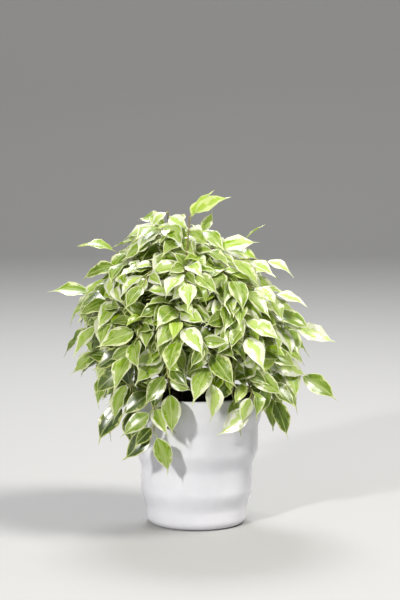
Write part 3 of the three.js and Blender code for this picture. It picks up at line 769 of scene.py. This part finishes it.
def bladeWidth(share):
    # half width over its largest: a rounded base, widest at two fifths, and a long drip tip, joined
    # by the cube root of the sum of cubes
    t = np.clip((share - blade["start"]) / (1 - blade["start"]), 0, 1)
    body = np.clip(t / blade["dripStart"], 0, 1)
    body = np.sin(np.pi * body ** blade["roundness"]) ** blade["roundness"]
    drip = blade["drip"] * np.sqrt(1 - t) * smoothStep(share, blade["start"], blade["dripBy"])
    return np.cbrt(body ** 3 + drip ** 3)


def leafSurface(places):
    # The rib is an arc that curls down: it goes out by the length over the bend times the change in
    # the sine of its slope, and up by the same of the cosine. Each ring round it is a lens, as high
    # as its thickness times the root of one less the square of the share of the half width: flat
    # and wide on the blade, round on the petiole. The blade folds up from its rib, eases off towards
    # its margin, and waves there as a sine that grows with the square of that share. Gives points
    # (leaf, station, ring, 3) and their places on the blade for the pattern.
    def column(key):
        return np.array([place[key] for place in places], float)[:, None, None]

    def axis(key):
        return np.array([place[key] for place in places], float)[:, None, None, :]

    share = stations[None, :, None]
    v = ringAcross[None, None, :]
    grown, counter = column("grown"), column("counter")
    bend, fold = np.radians(column("bend")), np.radians(column("fold"))
    length = leaf["length"] * grown
    start = bend / 2
    now = start - bend * share
    out = length / bend * (np.sin(start) - np.sin(now)) - leaf["rootDepth"] * (1 - share)
    lift = length / bend * (np.cos(now) - np.cos(start))
    flat = smoothStep(share, blade["flatFrom"], blade["flatBy"])
    halfWidth = np.maximum(leaf["halfWidth"] * grown * bladeWidth(share),
                           blade["petiole"] * (1 - blade["petioleTaper"] * flat))
    thick = blade["petioleThick"] + (blade["thick"] - blade["petioleThick"]) * flat
    x = halfWidth * v
    t = np.clip((share - blade["start"]) / (1 - blade["start"]), 0, 1)
    turns = (blade["waves"] + chance(counter, 21)) * t + chance(counter, 22)
    wave = blade["wave"] * grown * v ** 2 * np.sin(
        2 * np.pi * turns + v * spread(counter, 23, blade["waveStagger"]))
    wave = wave * np.sin(np.pi * t) * flat
    folded = np.abs(x) * np.tan(fold) * (blade["foldAtRib"] - blade["foldEase"] * v ** 2)
    raised = lift + folded + wave + ringSide * thick * np.sqrt(np.maximum(1 - v ** 2, 0))
    beyond = np.maximum(t - blade["curlFrom"], 0) / (1 - blade["curlFrom"])
    sideways = x + spread(counter, 24, blade["tipCurl"]) * beyond ** 2
    points = (axis("root") + axis("pointing") * out[..., None] + axis("across") * sideways[..., None]
              + axis("normal") * raised[..., None])
    # the petiole starts on the smooth branch, and not on the solid's straight pieces
    shift = np.array([bezier(*place["branch"]["curve"], place["share"]) - place["root"] for place in places])
    points = points + shift[:, None, None, :] * (1 - smoothStep(share, 0, blade["petioleJoint"]))[..., None]
    lengthwise = np.broadcast_to((share - blade["start"]) * length, x.shape)
    margin = halfWidth - np.abs(x)
    return points, np.stack([lengthwise, x, margin], axis=-1)


patternSpread = 400  # how far apart the leaves lie in the noise of their pattern


def leavesMesh(name, places, materials):
    # Each leaf is closed by a cap at either end. Upper faces take the first material and under
    # faces the second.
    points, pattern = leafSurface(places)
    count, rows, sides = points.shape[:3]
    block = ringFaces(rows, sides)
    upper = np.tile(np.arange(sides) < upperPoints - 1, rows - 1)
    last = (rows - 1) * sides
    caps = [list(range(sides - 1, -1, -1)), list(range(last, last + sides))]
    faces, slots = [], []
    for k in range(count):
        first = k * rows * sides
        faces += (block + first).tolist() + [[first + corner for corner in cap] for cap in caps]
        slots += np.where(upper, 0, 1).tolist() + [0, 0]
    thing = newObject(name, points.reshape(-1, 3), faces, materials)
    thing.data.polygons.foreach_set("material_index", slots)
    thing.data.set_sharp_from_angle(angle=np.radians(blade["sharpAngle"]))
    pointAttribute(thing, "leafPlace", pattern.reshape(-1, 3))
    kind = np.array([[chance(place["counter"], 31) * patternSpread, place["pale"], place["young"]]
                     for place in places])
    pointAttribute(thing, "leafKind", np.repeat(kind, rows * sides, axis=0))
    return thing


def beyondDome(points):
    # How far points lie outside the dome's shell, in millimetres. The shell's radius at a height is
    # the reach times one less the cosine squared, to half the power of one and the narrowing.
    up = points[..., 2] - domeCentre[2]
    reach, narrowing = (np.where(up > 0, crown[key], skirt[key]) for key in ("reach", "narrowing"))
    rise, lean = (np.where(up > 0, crown[key], skirt[key]) for key in ("rise", "lean"))
    cosine = np.clip(up / rise, -1, 1)
    shell = reach * (1 - cosine ** 2) ** ((1 + narrowing) / 2)
    out = np.hypot(points[..., 0] - domeCentre[0] - lean * cosine, points[..., 1] - domeCentre[1])
    return np.maximum(out - shell, np.abs(up) - rise)


def makeSideTwigs():
    # short twigs that leave a branch to the left and right by turns and hang at their ends
    twigs = []
    for branch in branches:
        if branch["chosen"]:
            continue
        for k in range(sideTwig["perBranch"]):
            counter = numbering["twig"] + branch["counter"] * numbering["twigShare"] + k
            share = sideTwig["first"] + (sideTwig["last"] - sideTwig["first"]) * (
                k + chance(counter, 1)) / sideTwig["perBranch"]
            root, way = along(smoothLine(branch), share)
            side = unit(np.cross(way, outlook(root))) * (1 if k % 2 else -1)
            angle = np.radians(sideTwig["angle"] + spread(counter, 2, sideTwig["angleStray"]))
            heading = way * np.cos(angle) + side * np.sin(angle)
            length = within(sideTwig["length"], counter, 3)
            sag = np.array([0, 0, sideTwig["sag"]])
            end = root + unit(heading - sideTwig["chordSag"] * sag) * length
            if beyondDome(end) > sideTwig["beyond"]:
                continue
            hanging = unit(heading - sideTwig["endSag"] * sag)
            curve = np.array([root, root + heading * length / 3, end - hanging * length / 3, end])
            twigs.append(dict(stem=branch["stem"], counter=counter, chosen=None, curve=curve,
                              fillers=filler["perTwig"]))
    return twigs


sideTwigs = makeSideTwigs()


def fillerPlace(branch, index, count, base):
    # as the other leaves, but smaller, in more varied ways and facing more to the light
    counter = base + index
    share = filler["first"] + (filler["last"] - filler["first"]) * (index + chance(counter, 1)) / count
    root, way = along(smoothLine(branch), share)
    radial = unit((root - domeCentre) * [1, 1, 0])
    facing = unit(outlook(root) + filler["outwards"] * radial + filler["frontwards"])
    side = unit(np.cross(way, facing)) * (1 if index % 2 else -1)
    angle = np.radians(filler["angle"] + spread(counter, 5, filler["angleStray"]))
    droop = np.array([0, 0, within(filler["droop"], counter, 6) + filler["climb"] * max(0.0, way[2])])
    pointing = unit(way * np.cos(angle) + side * np.sin(angle) - droop + filler["lift"] * radial)
    return dict(root=root, share=share, pointing=pointing, facing=facing,
                grown=within(filler["grown"], counter, 8), roll=spread(counter, 9, filler["roll"]),
                bend=within(filler["bend"], counter, 10), fold=within(filler["fold"], counter, 11),
                branch=branch, counter=counter)


def cellsOf(places):
    # the cells that each blade passes through: its points and those half way to the next station
    points = leafSurface(places)[0][:, bladeFrom:, :upperPoints]
    points = np.concatenate([points, (points[:, 1:] + points[:, :-1]) / 2], axis=1)
    return np.floor((points.reshape(len(places), -1, 3) + room) / cell).astype(int)


def fillerPlaces():
    # each small leaf is kept only in a way that hangs clear of those that are there and keeps to
    # the dome
    taken = np.zeros([int(roomSide / cell)] * 3, bool)
    taken[tuple(cellsOf(leaves).reshape(-1, 3).T)] = True
    low, high = (np.floor((np.array(corner) + room) / cell).astype(int) for corner in rimGap)
    taken[low[0]:high[0], low[1]:high[1], low[2]:high[2]] = True
    extra = []
    for branch in branches + sideTwigs:
        count = branch["fillers"]
        base = numbering["filler"] + branch["counter"] * numbering["fillerLeaf"]
        for index in range(count):
            tried = leavesGrown(fillerPlace(branch, index, count, base), waysTried)
            tips = np.array([tipPoint(made) for made in tried])
            cells = cellsOf(tried)
            overlap = taken[tuple(np.moveaxis(cells, -1, 0))].mean(axis=1)
            if not branch["chosen"]:
                overlap = overlap + (beyondDome(tips) > filler["beyond"])
            best = int(np.argmin(overlap))
            if overlap[best] <= filler["crowding"]:
                extra.append(tried[best])
                taken[tuple(cells[best].T)] = True
    return extra


# the height where leaves start to grow paler, with the rise and the reach over which they do. Paler towards
# the top is partly young growth and partly painted light, and paler to the right is painted light, for the
# brighter light that falls there.
palenessAndPaintedLight = dict(lowest=150, rise=220, reach=130, byHeightAndPaintedLight=0.54, paintedLightToRight=0.18, toEnd=0.2, byChance=0.85,
                power=1.4, less=0.18)
unfolded = dict(young=0.8, grownUnder=0.78, share=0.24)


def ageAndPaintedLight(place):
    # how pale a leaf is, and whether it has just unfolded: paler at the branch ends, at the top partly as
    # young growth and partly as painted light, and to the right as painted light for the brighter light there
    height = (place["root"][2] - palenessAndPaintedLight["lowest"]) / palenessAndPaintedLight["rise"]
    right = place["root"][0] / palenessAndPaintedLight["reach"]
    pale = (palenessAndPaintedLight["byHeightAndPaintedLight"] * height + palenessAndPaintedLight["paintedLightToRight"] * right + palenessAndPaintedLight["toEnd"] * place["share"]
            + palenessAndPaintedLight["byChance"] * chance(place["counter"], 33) ** palenessAndPaintedLight["power"] - palenessAndPaintedLight["less"])
    isYoung = place["grown"] < unfolded["grownUnder"] and chance(place["counter"], 34) < unfolded["share"]
    young = unfolded["young"] if isYoung else 0.0
    return dict(pale=float(np.clip(pale, 0, 1)), young=place["branch"].get("young", young))


extraLeaves = fillerPlaces()
print("small leaves between them:", len(extraLeaves))
for place in leaves + extraLeaves:
    place.update(ageAndPaintedLight(place))


# The pattern of the leaves. A pair of colours runs from a green leaf's to a pale leaf's, where the paleness
# is partly painted light, and the pair of an edge is where it starts and where it is full. Lengths are
# millimetres on the blade.
leafPattern = dict(
    deepGreen=("#202d01", "#8fb802"), brightGreen=("#3d5202", "#b2da0c"), greyGreen=("#5f7506", "#cade80"),
    cream=("#c4ca7a", "#ebede2"), fresh="#a0c012", freshMargin="#d4e272", rib="#cfdd8c", petiole="#bccb76",
    underSide="#c2d084", underShare=0.35, glow=("#a2bc02", "#d4e62c"), creamGlow="#f0f0cc", glowShare=0.4,
    creamLeast=-1.2, creamOfPale=0.55, creamWander=1.5, creamEdge=(0.95, 1.03), lineEdge=(0.85, 1.35),
    leastMargin=0.05, halvesApart=3.0, wanderLength=12.5, streakLength=20, streaksAcross=3.2,
    blotchesPerMm=(0.22, 0.4), blotchEdge=(0.4, 0.6), greyEdge=(0.54, 0.61), greyOfPale=-0.2,
    freshShare=0.6, ribEdge=(0.3, 0.75), ribShare=0.7, petioleEdge=(-1.5, 0.8),
    veinSpacing=1.6, veinSlant=(-0.37, 0.93), veinHeight=0.1, ribDepth=0.6, streakHeight=3.0,
)


def variegatedLeaf(name, under):
    # Waxy variegated leaf: green streaked with grey green along the rib, cream margins of uneven
    # width, and a soft gloss on the upper side alone. Light shines through it.
    look = leafPattern
    material, surface = newMaterial(name, {
        "Roughness": 0.55 if under else 0.46, "IOR": 1.5, "Specular IOR Level": 0.3,
        "Coat Weight": 0.0 if under else 1.0, "Coat Roughness": 0.27, "Coat IOR": 1.65})
    place = addNode(material, "ShaderNodeAttribute", {"attribute_name": "leafPlace"}, output="Vector")
    kind = addNode(material, "ShaderNodeAttribute", {"attribute_name": "leafKind"}, output="Vector")
    lengthwise, across, margin = addNode(material, "ShaderNodeSeparateXYZ", inputs={0: place}).node.outputs
    seed, pale, young = addNode(material, "ShaderNodeSeparateXYZ", inputs={0: kind}).node.outputs
    off = addNode(material, "ShaderNodeMath", {"operation": "ABSOLUTE"}, {0: across})
    # each half of the blade has its own pattern
    half = addNode(material, "ShaderNodeMath", {"operation": "SIGN"}, {0: across})
    other = addNode(material, "ShaderNodeMath", timesPlus, {0: half, 1: look["halvesApart"], 2: seed})
    # 0 on the rib and 1 at the margin, so that streaks draw together at the base and the tip
    inside = addNode(material, "ShaderNodeMath", {"operation": "MAXIMUM"}, {
        0: margin, 1: look["leastMargin"]})
    width = addNode(material, "ShaderNodeMath", {"operation": "ADD"}, {0: off, 1: inside})
    outwards = addNode(material, "ShaderNodeMath", {"operation": "DIVIDE"}, {0: off, 1: width})

    # the cream's inner edge wanders along the blade
    x = addNode(material, "ShaderNodeMath", times, {0: lengthwise, 1: 1 / look["wanderLength"]})
    spot = addNode(material, "ShaderNodeCombineXYZ", inputs={0: x, 1: other})
    wander = addNode(material, "ShaderNodeTexNoise", inputs={
        "Vector": spot, "Scale": 1.0, "Detail": 2.0, "Roughness": 0.6})
    # streaks about 4 mm wide on a full blade
    x = addNode(material, "ShaderNodeMath", times, {0: outwards, 1: look["streaksAcross"]})
    y = addNode(material, "ShaderNodeMath", times, {0: lengthwise, 1: 1 / look["streakLength"]})
    spot = addNode(material, "ShaderNodeCombineXYZ", inputs={0: x, 1: y, 2: other})
    streaks = addNode(material, "ShaderNodeTexNoise", inputs={
        "Vector": spot, "Scale": 1.0, "Detail": 2.0, "Roughness": 0.55})

    # share of the half width that is cream: more on pale leaves, and never less than a fine line
    breadth = addNode(material, "ShaderNodeMath", times, {0: pale, 1: pale})
    breadth = addNode(material, "ShaderNodeMath", timesPlus, {
        0: breadth, 1: look["creamOfPale"], 2: look["creamLeast"]})
    breadth = addNode(material, "ShaderNodeMath", timesPlus, {0: wander, 1: look["creamWander"], 2: breadth})
    breadth = addNode(material, "ShaderNodeMath", {"operation": "ADD"}, {0: streaks, 1: breadth})
    creamStarts, creamFull = (
        addNode(material, "ShaderNodeMath", {"operation": "SUBTRACT"}, {0: bound, 1: breadth})
        for bound in look["creamEdge"])
    cream = addNode(material, "ShaderNodeMapRange", smoothRange, {0: outwards, 1: creamStarts, 2: creamFull})
    least, most = look["lineEdge"]
    line = addNode(material, "ShaderNodeMapRange", smoothRange, {
        0: margin, 1: least, 2: most, 3: 1.0, 4: 0.0})
    cream = addNode(material, "ShaderNodeMath", {"operation": "MAXIMUM"}, {0: cream, 1: line})

    # darker and lighter green in blotches of about 4 mm, with grey green streaks over them
    x = addNode(material, "ShaderNodeMath", times, {0: lengthwise, 1: look["blotchesPerMm"][0]})
    y = addNode(material, "ShaderNodeMath", times, {0: across, 1: look["blotchesPerMm"][1]})
    spot = addNode(material, "ShaderNodeCombineXYZ", inputs={0: x, 1: y, 2: seed})
    blotches = addNode(material, "ShaderNodeTexNoise", inputs={
        "Vector": spot, "Scale": 1.0, "Detail": 3.0, "Roughness": 0.7})
    # the greens, the cream and the glow go paler with the leaf's paleness, which is partly painted light at
    # the top and right
    deep, bright, grey, creamColour, glow = (
        addNode(material, "ShaderNodeMix", colourMix, {0: pale, 6: look[key][0], 7: look[key][1]}, mixed)
        for key in ("deepGreen", "brightGreen", "greyGreen", "cream", "glow"))
    least, most = look["blotchEdge"]
    shareOfBright = addNode(material, "ShaderNodeMapRange", smoothRange, {0: blotches, 1: least, 2: most})
    green = addNode(material, "ShaderNodeMix", colourMix, {0: shareOfBright, 6: deep, 7: bright}, mixed)
    greyStarts, greyFull = (
        addNode(material, "ShaderNodeMath", timesPlus, {0: pale, 1: look["greyOfPale"], 2: bound})
        for bound in look["greyEdge"])
    shareOfGrey = addNode(material, "ShaderNodeMapRange", smoothRange, {
        0: streaks, 1: greyStarts, 2: greyFull})
    green = addNode(material, "ShaderNodeMix", colourMix, {0: shareOfGrey, 6: green, 7: grey}, mixed)
    colour = addNode(material, "ShaderNodeMix", colourMix, {0: cream, 6: green, 7: creamColour}, mixed)

    # a leaf that has just unfolded is a plain yellow green with a faint margin
    faint = addNode(material, "ShaderNodeMath", times, {0: cream, 1: look["freshShare"]})
    fresh = addNode(material, "ShaderNodeMix", colourMix, {
        0: faint, 6: look["fresh"], 7: look["freshMargin"]}, mixed)
    colour = addNode(material, "ShaderNodeMix", colourMix, {0: young, 6: colour, 7: fresh}, mixed)
    least, most = look["ribEdge"]
    rib = addNode(material, "ShaderNodeMapRange", smoothRange, {0: off, 1: least, 2: most, 3: 1.0, 4: 0.0})
    shareOfRib = addNode(material, "ShaderNodeMath", times, {0: rib, 1: look["ribShare"]})
    colour = addNode(material, "ShaderNodeMix", colourMix, {0: shareOfRib, 6: colour, 7: look["rib"]}, mixed)
    least, most = look["petioleEdge"]
    petiole = addNode(material, "ShaderNodeMapRange", smoothRange, {
        0: lengthwise, 1: least, 2: most, 3: 1.0, 4: 0.0})
    colour = addNode(material, "ShaderNodeMix", colourMix, {0: petiole, 6: colour, 7: look["petiole"]}, mixed)
    if under:
        colour = addNode(material, "ShaderNodeMix", colourMix, {
            0: look["underShare"], 6: colour, 7: look["underSide"]}, mixed)
    material.node_tree.links.new(colour, surface.inputs["Base Color"])

    # side veins run forwards at a slant from the rib, in shallow furrows; the rib is sunk, and the
    # blade ripples lengthwise with its streaks
    slant = addNode(material, "ShaderNodeMath", times, {0: off, 1: look["veinSlant"][1]})
    vein = addNode(material, "ShaderNodeMath", timesPlus, {0: lengthwise, 1: look["veinSlant"][0], 2: slant})
    turns = addNode(material, "ShaderNodeMath", times, {0: vein, 1: 2 * np.pi / look["veinSpacing"]})
    ridge = addNode(material, "ShaderNodeMath", {"operation": "SINE"}, {0: turns})
    height = addNode(material, "ShaderNodeMath", times, {0: rib, 1: -look["ribDepth"]})
    height = addNode(material, "ShaderNodeMath", timesPlus, {0: ridge, 1: look["veinHeight"], 2: height})
    height = addNode(material, "ShaderNodeMath", timesPlus, {0: streaks, 1: look["streakHeight"], 2: height})
    bump = addNode(material, "ShaderNodeBump", inputs={"Height": height, "Strength": 0.4, "Distance": 0.0003})
    material.node_tree.links.new(bump, surface.inputs["Normal"])

    # light that comes through is a stronger yellow green
    glow = addNode(material, "ShaderNodeMix", colourMix, {0: cream, 6: glow, 7: look["creamGlow"]}, mixed)
    through = addNode(material, "ShaderNodeBsdfTranslucent", inputs={"Color": glow, "Normal": bump})
    both = addNode(material, "ShaderNodeMixShader", inputs={
        0: look["glowShare"], 1: surface.outputs[0], 2: through})
    output = material.node_tree.nodes["Material Output"]
    material.node_tree.links.new(both, output.inputs["Surface"])
    return material


def bark():
    # Thin brown bark with pale breathing pores, greener towards the twigs.
    material, surface = newMaterial("thin_brown_bark", {"Roughness": 0.75})
    place = addNode(material, "ShaderNodeTexCoord", output="Object")
    girth = addNode(material, "ShaderNodeAttribute", {"attribute_name": "girth"}, output="Fac")
    # cracks and pores of about 2 mm
    grain = addNode(material, "ShaderNodeTexNoise", inputs={"Vector": place, "Scale": 500.0, "Detail": 4.0})
    old = addNode(material, "ShaderNodeValToRGB", inputs={0: grain},
                  stops=[(0.35, "#33251a"), (0.6, "#57422f"), (0.75, "#84705a")])
    young = addNode(material, "ShaderNodeValToRGB", inputs={0: grain},
                    stops=[(0.3, "#6b5630"), (0.7, "#8d8550")])
    # twigs under 0.9 mm in radius are green, and stems over 1.5 mm are brown
    shareOfOld = addNode(material, "ShaderNodeMapRange", smoothRange, {0: girth, 1: 0.9, 2: 1.5})
    colour = addNode(material, "ShaderNodeMix", colourMix, {0: shareOfOld, 6: young, 7: old}, mixed)
    material.node_tree.links.new(colour, surface.inputs["Base Color"])
    bump = addNode(material, "ShaderNodeBump", inputs={"Height": grain, "Strength": 0.5, "Distance": 0.0004})
    material.node_tree.links.new(bump, surface.inputs["Normal"])
    return material


def makeWood(name, owner, material):
    # the stem in one tube and its branches in others, each branch drawn out into a bud
    stem = stems[owner]
    shares = np.linspace(0, 1, stemShape["steps"] + 1)
    above = stemPoints(stem, shares)
    buried = np.array([[*stem["foot"], compost["top"] - stemShape["buried"]]], float)
    line = np.concatenate([buried, above])[None]
    radius = stem["radius"] + (stemShape["tipRadius"] - stem["radius"]) * np.concatenate([[0], shares])
    knots = 1 + stemShape["knot"] * np.sin(np.arange(len(radius)) * stemShape["knotTurn"] + owner)
    parts = [(line, (radius * knots)[None], stemShape["sides"])]
    # a branch or side twig ends at its outermost leaf
    leafyUpTo = {}
    for place in leaves + extraLeaves:
        counter = place["branch"]["counter"]
        leafyUpTo[counter] = max(place["share"], leafyUpTo.get(counter, 0))
    own = [branch for branch in branches if branch["stem"] == owner and branch["counter"] in leafyUpTo]
    shares = np.linspace(0, 1, twig["tubeSteps"] + 1)
    lines = np.array([bezier(*branch["curve"], shares * leafyUpTo[branch["counter"]]) for branch in own])
    tips = lines[:, -1] + unit(lines[:, -1] - lines[:, -2]) * twig["bud"]
    lines = np.concatenate([lines, tips[:, None]], axis=1)
    girth = twig["startRadius"] + (twig["endRadius"] - twig["startRadius"]) * shares
    girth = np.concatenate([girth, [twig["budRadius"]]])
    parts.append((lines, np.broadcast_to(girth, lines.shape[:2]), twig["sides"]))
    own = [shoot for shoot in sideTwigs if shoot["stem"] == owner and shoot["counter"] in leafyUpTo]
    lines = np.array([bezier(*shoot["curve"], np.linspace(0, leafyUpTo[shoot["counter"]], sideTwig["steps"]))
                      for shoot in own])
    girth = np.linspace(sideTwig["startRadius"], sideTwig["endRadius"], sideTwig["steps"])
    parts.append((lines, np.broadcast_to(girth, lines.shape[:2]), sideTwig["sides"]))
    points, faces, thickness = [], [], []
    for line, radii, sides in parts:
        madePoints, madeFaces = tubes(line, radii, sides)
        first = sum(len(p) for p in points)
        faces += [[first + corner for corner in face] for face in madeFaces]
        points.append(madePoints)
        thickness.append(np.repeat(radii.ravel(), sides))
    wood = newObject(name, np.concatenate(points), faces, [material])
    pointAttribute(wood, "girth", np.concatenate(thickness))
    return wood


def makeLeafyStems():
    leafMaterials = [variegatedLeaf("waxy_leaf_upper_side", under=False),
                     variegatedLeaf("matte_leaf_under_side", under=True)]
    barkMaterial = bark()
    for owner, stem in enumerate(stems):
        own = [place for place in leaves + extraLeaves if place["branch"]["stem"] == owner]
        foliage = leavesMesh(stem["name"] + "_leaves", own, leafMaterials)
        wood = makeWood(stem["name"] + "_wood", owner, barkMaterial)
        for piece in (foliage, wood):
            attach(piece, "root")
            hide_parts(stem["name"])
        print(stem["name"], "leaves:", len(own))


makeLeafyStems()
